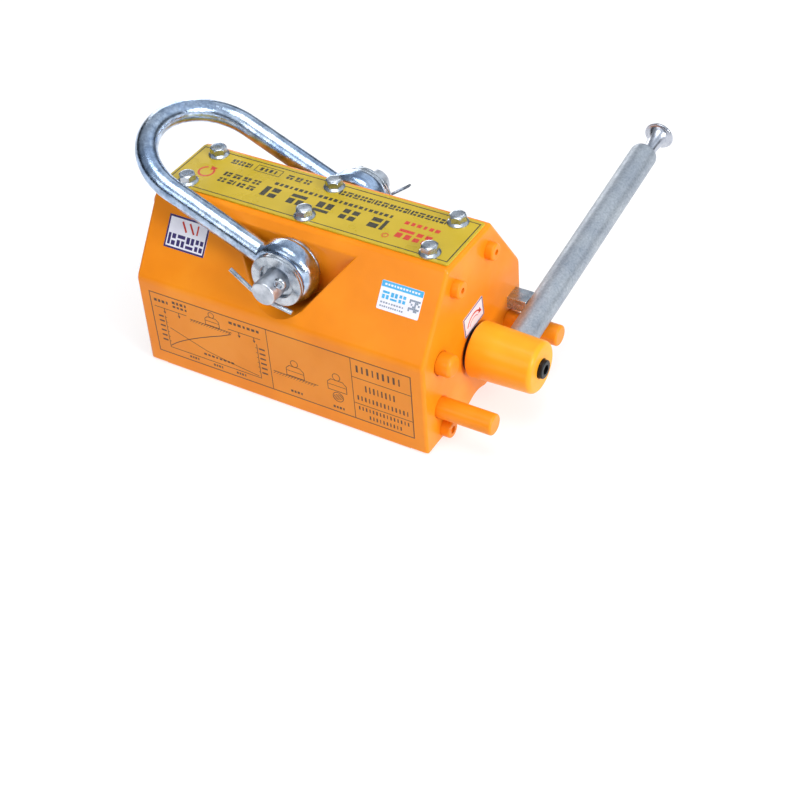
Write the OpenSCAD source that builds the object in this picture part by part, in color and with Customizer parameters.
// Permanent lifting magnet: two steel poles around a turning magnet rotor,
// a lever handle that turns the rotor, and a bow shackle to hang it from.
// X runs along the body towards the handle, Y across it, Z up.
// The origin is on the working face, midway along and midway across.

/* [Body] */
// Length over both end plates
body_l = 260; // [240:1:300]
// Width across the poles
body_w = 152; // [146:1:164]
// Height from working face to top face
body_h = 144; // [140:1:150]
// Width of the flat top
top_w = 66; // [62:1:70]
// Height of the upright lower sides
side_h = 83; // [80:1:86]
// Thickness of each end plate
end_t = 16; // [14:1:18]
// Width of the non-magnetic gap between the poles
gap_w = 18; // [14:1:20]
// Half width of the groove for round bars
groove_half_w = 19; // [12:1:22]
// Depth of the groove for round bars
groove_depth = 7; // [4:0.5:8]

/* [Rotor] */
// Height of the rotor axis
axis_z = 50; // [48:1:52]
// Radius of the rotor
rotor_r = 38; // [34:1:38]
// Radial air gap round the rotor
air_gap = 0.5; // [0.3:0.1:0.8]
// Thickness of the rotor magnet
rotor_magnet_t = 22; // [16:1:26]
// Radius of the rotor shaft
shaft_r = 8; // [7:0.5:9]

/* [Hub and handle] */
// Hub radius beside the end plate
hub_base_r = 22.5; // [21:0.5:24]
// Hub radius at its outer end
hub_end_r = 20.8; // [20:0.1:22]
// Where the hub's outer end lies
hub_end_x = 187; // [184:1:190]
// Where the handle's centre line lies
handle_x = 159; // [158:0.5:160]
// Handle angle above level in the rest position
handle_deg = 9; // [6:1:12]
// Handle tube radius
tube_r = 11.5; // [10:0.5:12]
// Distance from rotor axis to the tube's outer end
tube_end = 248.5; // [246:0.5:252]
// Travel of the pull knob
knob_travel = 8; // [6:1:9]

/* [Stops] */
// Radius of the two stop pins
stop_r = 8.5; // [7:0.5:9]
// Distance of the stop pins from the rotor axis, sideways
stop_y = 54; // [52:1:56]
// Height of the front stop pin
front_stop_z = 32; // [30:1:34]
// Where the stop pins end
stop_end_x = 176; // [172:1:180]

/* [Shackle] */
// Height of the shackle pins
pin_z = 114.5; // [113:0.5:116]
// Shackle pin radius
pin_r = 10; // [9:0.5:11]
// Distance of the pin's free end from the middle
pin_end_y = 84; // [82:1:88]
// Sideways distance of each leg's centre line
leg_y = 51; // [50.5:0.5:52]
// Radius of the shackle's bar
bar_r = 9; // [8:0.5:9]
// Length of the straight legs, pin centre to bow
leg_l = 107; // [100:1:120]
// Lean of the resting shackle above level
rest_deg = 23.5; // [23.5:0.5:30]

/* [Hidden] */
$fn = 64;
half_l = body_l / 2;
half_w = body_w / 2;
half_top = top_w / 2;
slot_half = gap_w / 2;
pole_half_l = half_l - end_t;
bore_r = rotor_r + air_gap;
fit = 0.05;                       // radial clearance of fixed and running fits
slope_deg = atan2(body_h - side_h, half_w - half_top);
slope_l = norm([half_w - half_top, body_h - side_h]);

// outline of the body's section, as [y, z] corners with a fillet radius each
foot_fillet = 2.5;
flank_fillet = 12;
top_fillet = 5;
section = [
    [-half_w, 0], [half_w, 0], [half_w, side_h],
    [half_top, body_h], [-half_top, body_h], [-half_w, side_h]
];
section_fillets = [
    foot_fillet, foot_fillet, flank_fillet,
    top_fillet, top_fillet, flank_fillet
];

groove_root_r = 24;

// magnets and spacers between the poles
keeper_top_z = 94;
magnet_top_z = 122;
magnet_count = 4;
magnet_joint = 0.6;

// shackle pockets in the sloping sides
pocket_y = 38.5;
pocket_r = 29;
pocket_flare_deg = 39;
pin_root_y = 15;

// rotor lengths
flange_t = 4;
rotor_half_l = pole_half_l - 2;
rotor_pole_half_l = rotor_half_l - flange_t;
flange_r = rotor_r - 1;
rotor_magnet_half_h = 29;
rotor_screw_circle = 27;
rotor_screw_r = 2.5;
rotor_hole_l = 20;

// end plates and their fittings
plate_foot_z = 2;
plate_round = 4;
bush_r = 13;
bush_l = end_t - 0.5;
rear_bush_l = 12;
ring_r = 13;
ring_end_x = 166;
ring_flange_r = 19;
ring_flange_t = 3;
screw_head_r = 9;
screw_head_h = 12;
screw_r = 6;
top_head_r = 7;
top_head_h = 7;
top_screw_y = 26;
top_screw_z = 124;
mid_screw_y = 51;
mid_screw_z = 72.5;
low_screw_y = 51;
low_screw_z = 9.7;
low_head_r = 7;
low_head_h = 8;
screw_depth = 40;

// steel block behind the resting handle
rest_block_y = [53, 69];
rest_block_z = [50.5, 61];
rest_block_end_x = 146.6;
rest_screw_r = 3;
rest_screw_depth = 12;

// hub
hub_gap = 3;
hub_cavity_r = 13.5;
hub_web_x = 167;
hub_seat_x = 178;
hub_end_round = 3.5;
hub_seat_t = 3.5;
hub_screw_head_r = 7.5;
hub_screw_head_h = 9;
hub_screw_r = 5;
key_w = 5;
tube_seat = 15.5;

// handle, seen along its own axis from the rotor axis outwards
tube_chamfer = 4;
tube_mouth_r = 9.4;
tube_bore_r = 6.5;
tube_bore = [30, 238];
rod_offset = 2;                   // how far the rod runs off the tube's centre line
rod_r = 3;
neck_r = 5.5;
knob_r = 12.4;
knob_c = 272.5;
knob_end = 277.5;
knob_flare = 253;
collar_at = 186;
collar_l = 5;
spring_l = 43;
spring_turns = 11;
spring_wire_r = 0.7;
spring_r = 5.2;

// stop pins: the handle's tube rests on the rear one with a hair's gap
stop_gap = 0.3;
stop_chamfer = 1.5;
stop_root_x = half_l - 10;
rear_stop_z = axis_z
    - ((tube_r + stop_r + stop_gap) - stop_y * sin(handle_deg)) / cos(handle_deg);

// shackle eye and washers on the pins
eye_r = 26;
eye_t = 20;
eye_round = 7;
eye_out_y = leg_y + eye_t / 2;
eye_in_y = leg_y - eye_t / 2;
bow_r = leg_y;
washer_r = 22;
washer_t = 2.5;
washer_gap = 0.25;

// split pins
split_y = 76.5;
split_deg = 37;
split_hole_r = 2.2;
split_r = 2;
split_leg_r = 1.4;
split_loop_r = 3;
knuckle = 0.1;                    // how much a bend's ball stands out from its wire

// name plate and its bolts
name_plate_t = 1.5;
name_plate_half_l = 127;
name_plate_half_w = 29;
plate_bolt_x = 108;
plate_bolt_y = 21;
flange_bolt_r = 8.4;
flange_bolt_t = 2;
flange_bolt_af = 12;
flange_bolt_h = 7.5;
flange_bolt_shank_r = 4;
flange_bolt_l = 14;

// stickers
sticker_t = 0.3;
sticker_gap = 0.02;

paint = [1.0, 0.55, 0.15];
hub_paint = [1.0, 0.66, 0.18];
steel = [0.72, 0.74, 0.76];
zinc = [0.80, 0.84, 0.88];
dark_steel = [0.45, 0.45, 0.47];
brass = [0.78, 0.62, 0.30];
bronze = [0.70, 0.50, 0.28];
magnet = [0.30, 0.31, 0.33];
black = [0.06, 0.06, 0.07];
plate_yellow = [0.87, 0.76, 0.24];
paper = [0.93, 0.93, 0.95];

// ---------- helpers ----------

function unit(v) = v / norm(v);

// points of a fillet of radius r at corner b between a and c
function fillet(a, b, c, r, n = 6) =
    let (
        u = unit(a - b),
        v = unit(c - b),
        half = acos(u * v) / 2,
        centre = b + unit(u + v) * r / sin(half),
        start = b + u * r / tan(half) - centre,
        from = atan2(start[1], start[0]),
        side = (b - a)[0] * (c - b)[1] - (b - a)[1] * (c - b)[0],
        turn = sign(side) * (180 - 2 * half)
    )
    [for (i = [0:n]) centre + r * [cos(from + turn * i / n), sin(from + turn * i / n)]];

function rounded(pts, radii) =
    let (n = len(pts))
    [for (i = [0:n - 1]) each fillet(pts[(i + n - 1) % n], pts[i], pts[(i + 1) % n], radii[i])];

// a [y, z] outline pushed along X from x0 to x1
module along_x(x0, x1) {
    translate([x0, 0, 0])
        rotate([90, 0, 90])
            linear_extrude(x1 - x0) children();
}

// an [x, z] outline pushed along Y from y0 to y1
module along_y(y0, y1) {
    translate([0, y1, 0])
        rotate([90, 0, 0])
            linear_extrude(y1 - y0) children();
}

module rod_x(x0, x1, r, y = 0, z = 0) {
    translate([x0, y, z])
        rotate([0, 90, 0]) cylinder(h = x1 - x0, r = r);
}

module rod_y(y0, y1, r, x = 0, z = 0) {
    translate([x, y1, z])
        rotate([90, 0, 0]) cylinder(h = y1 - y0, r = r);
}

module rod_between(a, b, r) {
    d = b - a;
    translate(a)
        rotate([0, acos(d[2] / norm(d)), atan2(d[1], d[0])])
            cylinder(h = norm(d), r = r, $fn = 24);
}

// a cylinder along X with a chamfer on its +X end
module pin_x(x0, x1, r, chamfer, y, z) {
    rod_x(x0, x1 - chamfer, r, y, z);
    translate([x1 - chamfer, y, z])
        rotate([0, 90, 0]) cylinder(h = chamfer, r1 = r, r2 = r - chamfer);
}

module hex(af, h) {
    rotate([0, 0, 30]) cylinder(h = h, r = af / sqrt(3), $fn = 6);
}

// a socket head screw whose head sits on the plane x = 0 and points to +X
module cap_screw(head_r, head_h, shank_r, shank_l) {
    socket_depth = head_h * 0.55;
    difference() {
        rotate([0, 90, 0]) cylinder(h = head_h, r = head_r);
        translate([head_h - socket_depth, 0, 0])
            rotate([0, 90, 0]) hex(head_r, socket_depth + 1);
    }
    rod_x(-shank_l, 0, shank_r);
}

// children drawn at one end of the body, and turned round for the other end
module at_end(sign_x) {
    rotate([0, 0, sign_x > 0 ? 0 : 180]) children();
}

// local X along the body, Y up the front slope, Z out of it
module on_front_slope() {
    translate([0, -half_w, side_h]) rotate([slope_deg, 0, 0]) children();
}

// local Z runs out along the handle from the rotor axis
module along_handle() {
    translate([handle_x, 0, axis_z]) rotate([handle_deg - 90, 0, 0]) children();
}

// the lock rod's own line, beside the tube's centre line
module along_rod() {
    along_handle() translate([rod_offset, 0, 0]) children();
}

module section_2d() {
    polygon(rounded(section, section_fillets));
}

// a vee with a rounded root
module groove_2d() {
    foot = [groove_half_w, 0];
    polygon([
        [-groove_half_w, 0], each fillet(-foot, [0, groove_depth], foot, groove_root_r),
        foot, [groove_half_w, -10], [-groove_half_w, -10]
    ]);
}

// ---------- magnetic body ----------

// the pocket that a shackle eye swings in, open to the front
module pocket() {
    rise = body_h - pin_z + 5;
    edge = pocket_r * [cos(pocket_flare_deg), -sin(pocket_flare_deg)];
    spread = (rise - edge[1]) * tan(pocket_flare_deg);
    along_y(-half_w - 1, -pocket_y) translate([0, pin_z]) union() {
        circle(r = pocket_r);
        polygon([
            [-edge[0], edge[1]], [edge[0], edge[1]],
            [edge[0] + spread, rise], [-edge[0] - spread, rise]
        ]);
    }
}

module pole(sign_y) {
    rotate([0, 0, sign_y < 0 ? 0 : 180]) difference() {
        along_x(-pole_half_l, pole_half_l) intersection() {
            section_2d();
            translate([-half_w - 1, -1]) square([half_w + 1 - slot_half, body_h + 2]);
        }
        rod_x(-half_l, half_l, bore_r, 0, axis_z);
        along_x(-half_l, half_l) groove_2d();
        pocket();
        rod_y(-half_w, -pin_root_y, pin_r + fit, 0, pin_z);
        for (x = [-1, 0, 1])
            translate([x * plate_bolt_x, -plate_bolt_y, body_h - flange_bolt_l])
                cylinder(h = flange_bolt_l + 1, r = flange_bolt_shank_r + fit);
        for (side = [-1, 1]) at_end(side) pole_screw_holes();
    }
}

// screw holes in one pole's +X end, for both of the poles' orientations
module pole_screw_holes() {
    for (y = [-1, 1]) {
        rod_x(half_l - screw_depth - 1, half_l, screw_r - 1 + fit, y * top_screw_y, top_screw_z);
        rod_x(half_l - screw_depth - 1, half_l, screw_r - 1 + fit, y * mid_screw_y, mid_screw_z);
        rod_x(half_l - screw_depth - 1, half_l, screw_r - 2 + fit, y * low_screw_y, low_screw_z);
    }
}

module pole_front() { color(paint) pole(-1); }

module pole_back() { color(paint) pole(1); }

module gap_bar(z0, z1) {
    difference() {
        along_x(-pole_half_l, pole_half_l)
            translate([-slot_half, z0]) square([gap_w, z1 - z0]);
        rod_x(-half_l, half_l, bore_r, 0, axis_z);
        along_x(-half_l, half_l) groove_2d();
    }
}

module lower_spacer() {
    color(brass) gap_bar(0, axis_z - rotor_r + 4);
}

module keeper_spacer() {
    color(steel) gap_bar(axis_z + rotor_r - 4, keeper_top_z);
}

module top_spacer() {
    color(steel) gap_bar(magnet_top_z, body_h);
}

module fixed_magnets() {
    step = 2 * pole_half_l / magnet_count;
    color(magnet) for (i = [0:magnet_count - 1])
        translate([-pole_half_l + i * step + magnet_joint / 2, -slot_half, keeper_top_z])
            cube([step - magnet_joint, gap_w, magnet_top_z - keeper_top_z]);
}

// ---------- end plates ----------

// an end plate at the +X end, with its outer edge rounded off
module end_plate_blank() {
    inset = plate_round * (1 - cos(45));
    module slice(shrink) {
        points = rounded(section, section_fillets);
        offset(delta = -shrink) intersection() {
            polygon(points);
            translate([-half_w, plate_foot_z]) square([body_w, body_h]);
        }
    }
    along_x(half_l - end_t, half_l - plate_round) slice(0);
    hull() {
        along_x(half_l - plate_round, half_l - plate_round + 0.01) slice(0);
        along_x(half_l - inset - 0.01, half_l - inset) slice(inset);
    }
    hull() {
        along_x(half_l - inset - 0.01, half_l - inset) slice(inset);
        along_x(half_l - 0.01, half_l) slice(plate_round);
    }
}

module end_plate(hole_l) {
    difference() {
        end_plate_blank();
        along_x(half_l - end_t - 1, half_l + 1) groove_2d();
        rod_x(half_l - end_t - 1, half_l - end_t + hole_l, bush_r + fit, 0, axis_z);
        for (y = [-1, 1]) {
            rod_x(half_l - end_t - 1, half_l + 1, screw_r - 1 + fit, y * top_screw_y, top_screw_z);
            rod_x(half_l - end_t - 1, half_l + 1, screw_r - 2 + fit, y * low_screw_y, low_screw_z);
        }
        rod_x(half_l - end_t - 1, half_l + 1, screw_r - 1 + fit, -mid_screw_y, mid_screw_z);
        children();
    }
}

module end_plate_drive() {
    color(paint) end_plate(end_t + 1) {
        rod_x(half_l - ring_flange_t, half_l + 1, ring_flange_r + fit, 0, axis_z);
        rod_x(stop_root_x, half_l + 1, stop_r + fit, -stop_y, front_stop_z);
        rod_x(stop_root_x, half_l + 1, stop_r + fit, stop_y, rear_stop_z);
        rest_block_screw_at(-rest_screw_depth, 1, rest_screw_r + fit);
        for (a = [90, 210, 330]) ring_screw_place(a) rod_x(-12, 1, 2 + fit);
    }
}

module end_plate_rear() {
    color(paint) at_end(-1) end_plate(rear_bush_l)
        rod_x(half_l - end_t - 1, half_l + 1, screw_r - 1 + fit, mid_screw_y, mid_screw_z);
}

module bush(x0, x1) {
    difference() {
        rod_x(x0, x1, bush_r, 0, axis_z);
        rod_x(x0 - 1, x1 + 1, shaft_r + fit, 0, axis_z);
    }
}

module bush_drive() { color(bronze) bush(half_l - end_t, half_l - ring_flange_t); }

module bush_rear() { color(bronze) bush(-half_l + end_t - rear_bush_l, -half_l + end_t); }

module plate_screws(mid_sides) {
    for (y = [-1, 1]) {
        translate([half_l, y * top_screw_y, top_screw_z])
            cap_screw(top_head_r, top_head_h, screw_r - 1, screw_depth);
        translate([half_l, y * low_screw_y, low_screw_z])
            cap_screw(low_head_r, low_head_h, screw_r - 2, screw_depth);
    }
    for (y = mid_sides)
        translate([half_l, y * mid_screw_y, mid_screw_z])
            cap_screw(screw_head_r, screw_head_h, screw_r - 1, screw_depth);
}

module plate_screws_drive() { color(paint) plate_screws([-1]); }

module plate_screws_rear() { color(paint) at_end(-1) plate_screws([-1, 1]); }

// ---------- lock ring, stops and rest block ----------

module ring_screw_place(a) {
    ring_screw_r = 16;
    translate([half_l - 1.5, ring_screw_r * cos(a), axis_z + ring_screw_r * sin(a)]) children();
}

module lock_ring() {
    color(steel) difference() {
        union() {
            rod_x(half_l - ring_flange_t, half_l, ring_flange_r, 0, axis_z);
            rod_x(half_l - 0.5, ring_end_x, ring_r, 0, axis_z);
        }
        rod_x(half_l - end_t, ring_end_x + 1, shaft_r + 0.3, 0, axis_z);
        for (a = [90, 210, 330]) ring_screw_place(a) {
            rod_x(-12, 1, 2 + fit);
            rod_x(0, 3, 2.6);
        }
        along_rod() cylinder(h = ring_r + 2, r = rod_r + 0.2);
        translate([handle_x + rod_offset, 0, axis_z]) rotate([90 - front_stop_deg(), 0, 0])
            cylinder(h = ring_r + 2, r = rod_r + 0.2);
    }
}

// angle above level at which the tube meets the front stop pin
function front_stop_deg() =
    let (
        drop = axis_z - front_stop_z,
        reach = norm([stop_y, drop])
    )
    asin((tube_r + stop_r + stop_gap) / reach) - atan2(drop, stop_y);

module lock_ring_screws() {
    color(dark_steel) for (a = [90, 210, 330]) ring_screw_place(a) {
        rod_x(-10, 0, 2);
        rod_x(0, 1.3, 2.5);
    }
}

module stop_pins() {
    color(paint) {
        pin_x(stop_root_x, stop_end_x, stop_r, stop_chamfer, -stop_y, front_stop_z);
        pin_x(stop_root_x, stop_end_x, stop_r, stop_chamfer, stop_y, rear_stop_z);
    }
}

module rest_block_screw_at(from, to, r) {
    mid = [rest_block_y[0] + rest_block_y[1], rest_block_z[0] + rest_block_z[1]] / 2;
    rod_x(half_l + from, half_l + to, r, mid[0], mid[1]);
}

module rest_block() {
    block_l = rest_block_end_x - half_l;
    color(zinc) difference() {
        translate([half_l, rest_block_y[0], rest_block_z[0]])
            cube([block_l, rest_block_y[1] - rest_block_y[0], rest_block_z[1] - rest_block_z[0]]);
        rest_block_screw_at(-1, block_l + 1, rest_screw_r + fit);
    }
}

module rest_block_screw() {
    block_l = rest_block_end_x - half_l;
    color(dark_steel) rest_block_screw_at(1 - rest_screw_depth, block_l - 0.5, rest_screw_r);
}

// ---------- name plate ----------

module name_plate() {
    corner = 2;
    color(plate_yellow) difference() {
        translate([0, 0, body_h]) linear_extrude(name_plate_t) polygon(rounded(
            [
                [-name_plate_half_l, -name_plate_half_w],
                [name_plate_half_l, -name_plate_half_w],
                [name_plate_half_l, name_plate_half_w],
                [-name_plate_half_l, name_plate_half_w]
            ],
            [corner, corner, corner, corner]
        ));
        for_plate_bolts() translate([0, 0, -1])
            cylinder(h = 4, r = flange_bolt_shank_r + 0.3);
    }
}

module for_plate_bolts() {
    for (x = [-1, 0, 1])
        for (y = [-1, 1])
            translate([x * plate_bolt_x, y * plate_bolt_y, body_h]) children();
}

module name_plate_bolts() {
    color(zinc) for_plate_bolts() translate([0, 0, name_plate_t]) {
        cylinder(h = flange_bolt_t, r1 = flange_bolt_r, r2 = flange_bolt_r - 1.4);
        hex(flange_bolt_af, flange_bolt_h);
        translate([0, 0, 1 - flange_bolt_l])
            cylinder(h = flange_bolt_l - 1, r = flange_bolt_shank_r);
    }
}

// ---------- shackle and its pins ----------

module both_sides(sign_y) {
    rotate([0, 0, sign_y < 0 ? 0 : 180]) children();
}

// pin with a chamfered free end and a cross hole for the split pin
module shackle_pin() {
    chamfer = 1.2;
    difference() {
        union() {
            rod_y(-pin_end_y + chamfer, -pin_root_y, pin_r, 0, pin_z);
            translate([0, -pin_end_y + chamfer, pin_z])
                rotate([90, 0, 0]) cylinder(h = chamfer, r1 = pin_r, r2 = pin_r - chamfer);
        }
        split_place() cylinder(h = 30, r = split_hole_r, center = true);
    }
}

// local Z points out of the split pin's hole, on its loop's side
module split_place() {
    translate([0, -split_y, pin_z]) rotate([0, 90 - split_deg, 0]) children();
}

module shackle_pin_front() { color(zinc) shackle_pin(); }

module shackle_pin_back() { color(zinc) both_sides(1) shackle_pin(); }

module washer(y_near, t) {
    difference() {
        rod_y(-y_near - t, -y_near, washer_r, 0, pin_z);
        rod_y(-y_near - t - 1, -y_near + 1, pin_r + fit, 0, pin_z);
    }
}

module washers() {
    washer(pocket_y, eye_in_y - pocket_y - washer_gap);
    washer(eye_out_y + washer_gap, washer_t);
    washer(eye_out_y + 2 * washer_gap + washer_t, washer_t);
}

module washers_front() { color(zinc) washers(); }

module washers_back() { color(zinc) both_sides(1) washers(); }

module split_pin() {
    exit = pin_r + 1.4;
    loop_z = exit + split_loop_r + 0.3;
    split_place() {
        translate([0, 0, -exit]) cylinder(h = exit + loop_z - split_loop_r, r = split_r, $fn = 32);
        translate([0, 0, loop_z]) rotate([90, 0, 0])
            rotate_extrude($fn = 32) translate([split_loop_r, 0]) circle(r = split_leg_r, $fn = 24);
        ball_at([0, 0, -exit], split_r + knuckle);
        split_leg([-3, 0, -16], [-26, 0, -22], exit);
        split_leg([4, 0, -13], [24.6, 0, 6], exit);
    }
}

// one leg, bent over at its knee
module split_leg(knee, tip, exit) {
    rod_between([0, 0, -exit], knee, split_leg_r);
    ball_at(knee, split_leg_r + knuckle);
    rod_between(knee, tip, split_leg_r);
}

module ball_at(p, r) {
    translate(p) sphere(r = r, $fn = 24);
}

module split_pin_front() { color(zinc) split_pin(); }

module split_pin_back() { color(zinc) both_sides(1) split_pin(); }

// half of the eye's section, [radius, y], with its outer edges rounded
module eye_section() {
    half_t = eye_t / 2;
    translate([pin_r, -half_t]) square([eye_r - eye_round - pin_r, eye_t]);
    translate([pin_r, -half_t + eye_round]) square([eye_r - pin_r, eye_t - 2 * eye_round]);
    for (s = [-1, 1])
        translate([eye_r - eye_round, s * (half_t - eye_round)]) circle(r = eye_round);
}

module shackle() {
    color(zinc) translate([0, 0, pin_z]) rotate([0, rest_deg - 90, 0]) difference() {
        union() {
            for (s = [-1, 1]) {
                translate([0, s * leg_y, 0]) rotate([90, 0, 0]) rotate_extrude() eye_section();
                translate([0, s * leg_y, 14]) cylinder(h = leg_l - 14, r = bar_r);
            }
            translate([0, 0, leg_l]) rotate([90, 0, 90])
                rotate_extrude(angle = 180) translate([bow_r, 0]) circle(r = bar_r);
        }
        rod_y(-pin_end_y, pin_end_y, pin_r + 0.08);
    }
}

// ---------- rotor ----------

module rotor_pole(sign_y) {
    difference() {
        rod_x(-rotor_pole_half_l, rotor_pole_half_l, rotor_r, 0, axis_z);
        rotor_half_cut(sign_y);
        for_rotor_screws(sign_y) rod_x(-rotor_hole_l, rotor_hole_l, rotor_screw_r + fit);
    }
}

// what a rotor pole leaves to the magnet and to the other pole
module rotor_half_cut(sign_y) {
    cut_w = 2 * rotor_r;
    low = sign_y < 0 ? -rotor_magnet_t / 2 : rotor_magnet_t / 2 - cut_w;
    translate([-half_l, low, axis_z - cut_w / 2]) cube([body_l, cut_w, cut_w]);
}

// the two screws at each end of one rotor pole, their heads' faces at local x = 0
module for_rotor_screws(sign_y, ends = [-1, 1]) {
    toward = sign_y < 0 ? 180 : 0;
    for (end = ends) for (a = [-40, 40])
        translate([
            end * rotor_half_l,
            rotor_screw_circle * cos(toward + a),
            axis_z + rotor_screw_circle * sin(toward + a)
        ]) rotate([0, 0, end > 0 ? 0 : 180]) children();
}

module rotor_pole_front() { color(dark_steel) rotor_pole(-1); }

module rotor_pole_back() { color(dark_steel) rotor_pole(1); }

module rotor_magnet() {
    color(magnet) translate([-rotor_pole_half_l, -rotor_magnet_t / 2, axis_z - rotor_magnet_half_h])
        cube([2 * rotor_pole_half_l, rotor_magnet_t, 2 * rotor_magnet_half_h]);
}

module rotor_spacers() {
    color(brass) difference() {
        intersection() {
            rod_x(-rotor_pole_half_l, rotor_pole_half_l, rotor_r, 0, axis_z);
            translate([-half_l, -rotor_magnet_t / 2, 0]) cube([body_l, rotor_magnet_t, body_h]);
        }
        translate([-half_l, -rotor_r, axis_z - rotor_magnet_half_h])
            cube([body_l, 2 * rotor_r, 2 * rotor_magnet_half_h]);
    }
}

module rotor_flange(end) {
    x0 = end > 0 ? rotor_pole_half_l : -rotor_half_l;
    difference() {
        rod_x(x0, x0 + flange_t, flange_r, 0, axis_z);
        for (s = [-1, 1]) for_rotor_screws(s, [end])
            rod_x(-rotor_hole_l, 1, rotor_screw_r + fit);
    }
}

module rotor_shaft_drive() {
    color(steel) difference() {
        union() {
            rotor_flange(1);
            rod_x(rotor_half_l - 0.5, hub_seat_x - 0.5, shaft_r, 0, axis_z);
        }
        translate([hub_web_x, -key_w / 2, axis_z + shaft_r - 3]) cube([20, key_w, 10]);
        rod_x(hub_seat_x - 25, hub_seat_x + 1, hub_screw_r + fit, 0, axis_z);
    }
}

module rotor_shaft_rear() {
    color(steel) union() {
        rotor_flange(-1);
        rod_x(-half_l + end_t - rear_bush_l + 1, -rotor_half_l + 0.5, shaft_r, 0, axis_z);
    }
}

module rotor_screws() {
    color(black) for (s = [-1, 1]) for_rotor_screws(s) rod_x(1 - rotor_hole_l, 0, rotor_screw_r);
}

// ---------- hub and handle ----------

module hub() {
    edge = 1.6;
    start = half_l + hub_gap;
    screw_seat = hub_seat_x + hub_seat_t;
    profile = [
        [hub_cavity_r, start], [hub_base_r - edge, start], [hub_base_r, start + edge],
        each fillet(
            [hub_base_r, start + edge], [hub_end_r, hub_end_x], [0, hub_end_x], hub_end_round
        ),
        [hub_screw_head_r + 0.4, hub_end_x], [hub_screw_head_r + 0.4, screw_seat],
        [hub_screw_r + 0.2, screw_seat], [hub_screw_r + 0.2, hub_seat_x],
        [shaft_r + fit, hub_seat_x], [shaft_r + fit, hub_web_x], [hub_cavity_r, hub_web_x]
    ];
    color(hub_paint) difference() {
        translate([0, 0, axis_z]) rotate([0, 90, 0]) rotate_extrude() polygon(profile);
        translate([hub_web_x - 1, -key_w / 2, axis_z]) cube([hub_seat_x - hub_web_x + 1, key_w, shaft_r + 3]);
        along_handle() translate([0, 0, tube_seat]) cylinder(h = 20, r = tube_r + fit);
        along_rod() translate([0, 0, 10]) cylinder(h = 10, r = rod_r + 0.2);
    }
}

module hub_key() {
    color(steel) translate([hub_web_x + 0.5, -key_w / 2 + fit, axis_z + shaft_r - 3 + fit])
        cube([hub_seat_x - hub_web_x - 1.5, key_w - 2 * fit, 6 - 2 * fit]);
}

module hub_screw() {
    color(black) translate([hub_seat_x + hub_seat_t, 0, axis_z])
        cap_screw(hub_screw_head_r, hub_screw_head_h, hub_screw_r, 22);
}

module handle_tube() {
    color(zinc) difference() {
        along_handle() {
            translate([0, 0, tube_seat]) cylinder(h = tube_end - tube_chamfer - tube_seat, r = tube_r);
            translate([0, 0, tube_end - tube_chamfer])
                cylinder(h = tube_chamfer, r1 = tube_r, r2 = tube_mouth_r);
        }
        along_rod() {
            translate([0, 0, tube_seat - 1]) cylinder(h = 20, r = rod_r + 0.2);
            translate([0, 0, tube_bore[0]]) cylinder(h = tube_end, r = tube_bore_r);
        }
    }
}

// threaded bush in the tube's mouth: it guides the knob and backs the spring
module tube_end_bush() {
    color(steel) along_rod() difference() {
        translate([0, 0, tube_bore[1]]) cylinder(h = tube_end - tube_bore[1], r = tube_bore_r - fit);
        translate([0, 0, tube_bore[1] - 1]) cylinder(h = 30, r = neck_r + fit);
    }
}

// a neck that flares like a trumpet into a shallow domed head
module pull_knob() {
    neck_foot = tube_end - 14;
    rim = 0.8;
    color(zinc) along_rod() difference() {
        rotate_extrude() polygon([
            [0, neck_foot], [neck_r, neck_foot],
            each [for (a = [0:10:90]) [
                neck_r + (knob_r - rim - neck_r) * (1 - cos(a)),
                knob_flare + (knob_c - rim - knob_flare) * sin(a)
            ]],
            each [for (a = [-60:30:0]) [knob_r - rim + rim * cos(a), knob_c + rim * sin(a)]],
            each [for (a = [10:10:80]) [knob_r * cos(a), knob_c + (knob_end - knob_c) * sin(a)]],
            [0, knob_end]
        ]);
        cylinder(h = neck_foot + 10, r = rod_r + fit);
    }
}

module lock_rod() {
    neck_foot = tube_end - 14;
    color(steel) along_rod() union() {
        translate([0, 0, ring_r + 0.4]) cylinder(h = neck_foot + 9 - ring_r, r = rod_r);
        translate([0, 0, collar_at - collar_l]) cylinder(h = collar_l, r = tube_bore_r - 0.3);
    }
}

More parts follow.
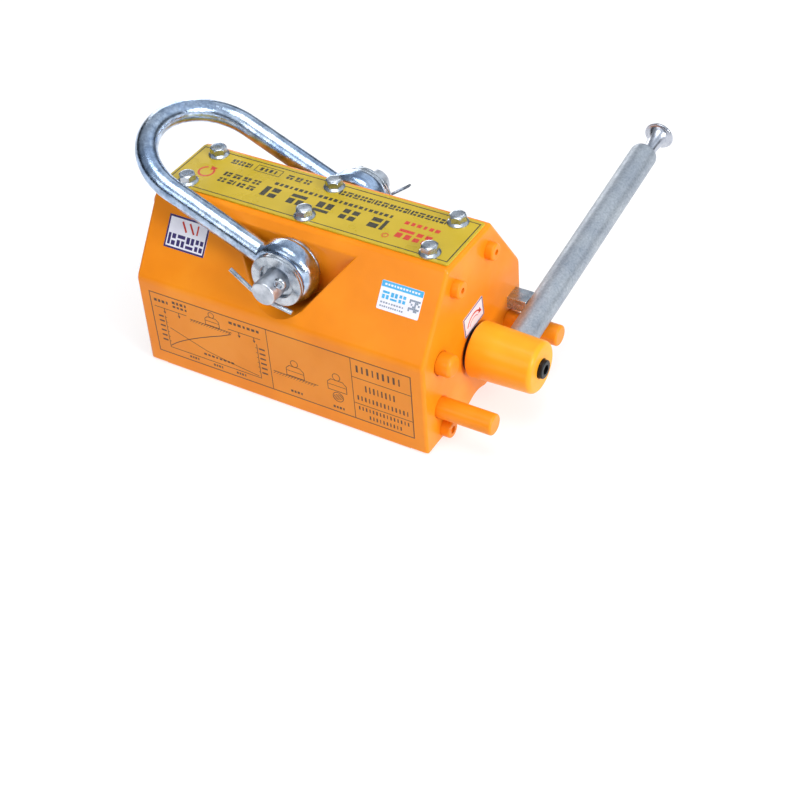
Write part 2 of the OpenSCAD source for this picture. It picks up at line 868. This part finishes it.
// coil round the lock rod, from the collar towards the end bush
module lock_spring() {
    sides = 6;
    per_turn = 12;
    rings = spring_turns * per_turn;
    function centre(i) = [
        spring_r * cos(360 * i / per_turn),
        spring_r * sin(360 * i / per_turn),
        collar_at + spring_wire_r + 0.2 + (spring_l - 2 * spring_wire_r) * i / rings
    ];
    function ring_point(i, j) =
        let (a = 360 * i / per_turn, b = 360 * j / sides)
        centre(i) + spring_wire_r * [cos(b) * cos(a), cos(b) * sin(a), sin(b)];
    points = [for (i = [0:rings]) for (j = [0:sides - 1]) ring_point(i, j)];
    walls = [
        for (i = [0:rings - 1]) for (j = [0:sides - 1])
            let (k = (j + 1) % sides)
            [i * sides + j, i * sides + k, (i + 1) * sides + k, (i + 1) * sides + j]
    ];
    caps = [
        [for (j = [0:sides - 1]) sides - 1 - j],
        [for (j = [0:sides - 1]) rings * sides + j]
    ];
    color(dark_steel) along_rod() polyhedron(points, concat(walls, caps), convexity = 10);
}

// ---------- stickers ----------

module slope_sticker(x0, x1, up0, up1) {
    color(paper) on_front_slope() translate([x0, up0, sticker_gap])
        cube([x1 - x0, up1 - up0, sticker_t]);
}

module sticker_left() { slope_sticker(-111, -73, 30, 56); }

module sticker_right() { slope_sticker(81, 116, 34, 55.5); }

module sticker_end() {
    size = [30, 19];
    tilt = 7;
    color(paper) translate([half_l + sticker_gap, 0, 79]) rotate([tilt, 0, 0])
        translate([0, -size[0] / 2, -size[1] / 2]) cube([sticker_t, size[0], size[1]]);
}

pole_front();
pole_back();
lower_spacer();
keeper_spacer();
top_spacer();
fixed_magnets();
end_plate_drive();
end_plate_rear();
bush_drive();
bush_rear();
plate_screws_drive();
plate_screws_rear();
lock_ring();
lock_ring_screws();
stop_pins();
rest_block();
rest_block_screw();
name_plate();
name_plate_bolts();
shackle_pin_front();
shackle_pin_back();
washers_front();
washers_back();
split_pin_front();
split_pin_back();
shackle();
rotor_pole_front();
rotor_pole_back();
rotor_magnet();
rotor_spacers();
rotor_shaft_drive();
rotor_shaft_rear();
rotor_screws();
hub();
hub_key();
hub_screw();
handle_tube();
tube_end_bush();
pull_knob();
lock_rod();
lock_spring();
sticker_left();
sticker_right();
sticker_end();
